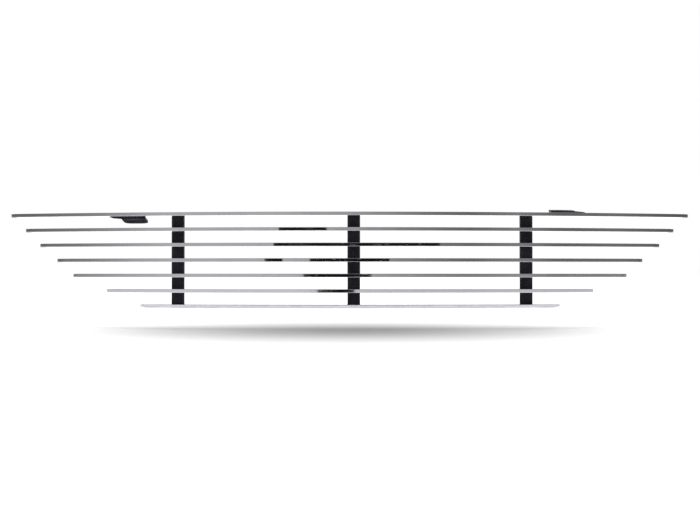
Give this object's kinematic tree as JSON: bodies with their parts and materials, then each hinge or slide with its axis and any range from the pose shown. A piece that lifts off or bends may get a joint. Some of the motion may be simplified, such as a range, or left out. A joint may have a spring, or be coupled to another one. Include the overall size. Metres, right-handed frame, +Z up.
{
  "type": "front grille",
  "caption": "Bowed billet front grille: thin polished horizontal bars, shorter towards the bottom, screwed to black uprights, with slotted angle tabs behind the top bar.",
  "frame": {"origin": "middle of the footprint, level with the underside of the bottom bar", "axes": "+X across the car, to the right seen from the front; +Y back into the car, the polished faces point to -Y; +Z up"},
  "size_m": [0.771, 0.0685, 0.112],
  "materials": {
    "polished_aluminium": "mirror polished, clear",
    "black_powder_coat": "semi-gloss black powder coat on aluminium",
    "black_oxide_steel": "black oxide"
  },
  "bodies": {
    "root": {"top_bar": "polished_aluminium", "bar_2": "polished_aluminium", "bar_3": "polished_aluminium", "bar_4": "polished_aluminium", "bar_5": "polished_aluminium", "bar_6": "polished_aluminium", "bottom_bar": "polished_aluminium", "upright_left": "black_powder_coat", "upright_centre": "black_powder_coat", "upright_right": "black_powder_coat", "mounting_tab_left": "black_powder_coat", "mounting_tab_right": "black_powder_coat", "upright_left_screw_1": "black_oxide_steel", "upright_left_screw_2": "black_oxide_steel", "upright_left_screw_3": "black_oxide_steel", "upright_left_screw_4": "black_oxide_steel", "upright_left_screw_5": "black_oxide_steel", "upright_left_screw_6": "black_oxide_steel", "upright_left_screw_7": "black_oxide_steel", "upright_centre_screw_1": "black_oxide_steel", "upright_centre_screw_2": "black_oxide_steel", "upright_centre_screw_3": "black_oxide_steel", "upright_centre_screw_4": "black_oxide_steel", "upright_centre_screw_5": "black_oxide_steel", "upright_centre_screw_6": "black_oxide_steel", "upright_centre_screw_7": "black_oxide_steel", "upright_right_screw_1": "black_oxide_steel", "upright_right_screw_2": "black_oxide_steel", "upright_right_screw_3": "black_oxide_steel", "upright_right_screw_4": "black_oxide_steel", "upright_right_screw_5": "black_oxide_steel", "upright_right_screw_6": "black_oxide_steel", "upright_right_screw_7": "black_oxide_steel", "mounting_tab_left_screw_outer": "black_oxide_steel", "mounting_tab_left_screw_inner": "black_oxide_steel", "mounting_tab_right_screw_outer": "black_oxide_steel", "mounting_tab_right_screw_inner": "black_oxide_steel"}
  },
  "joints": []
}
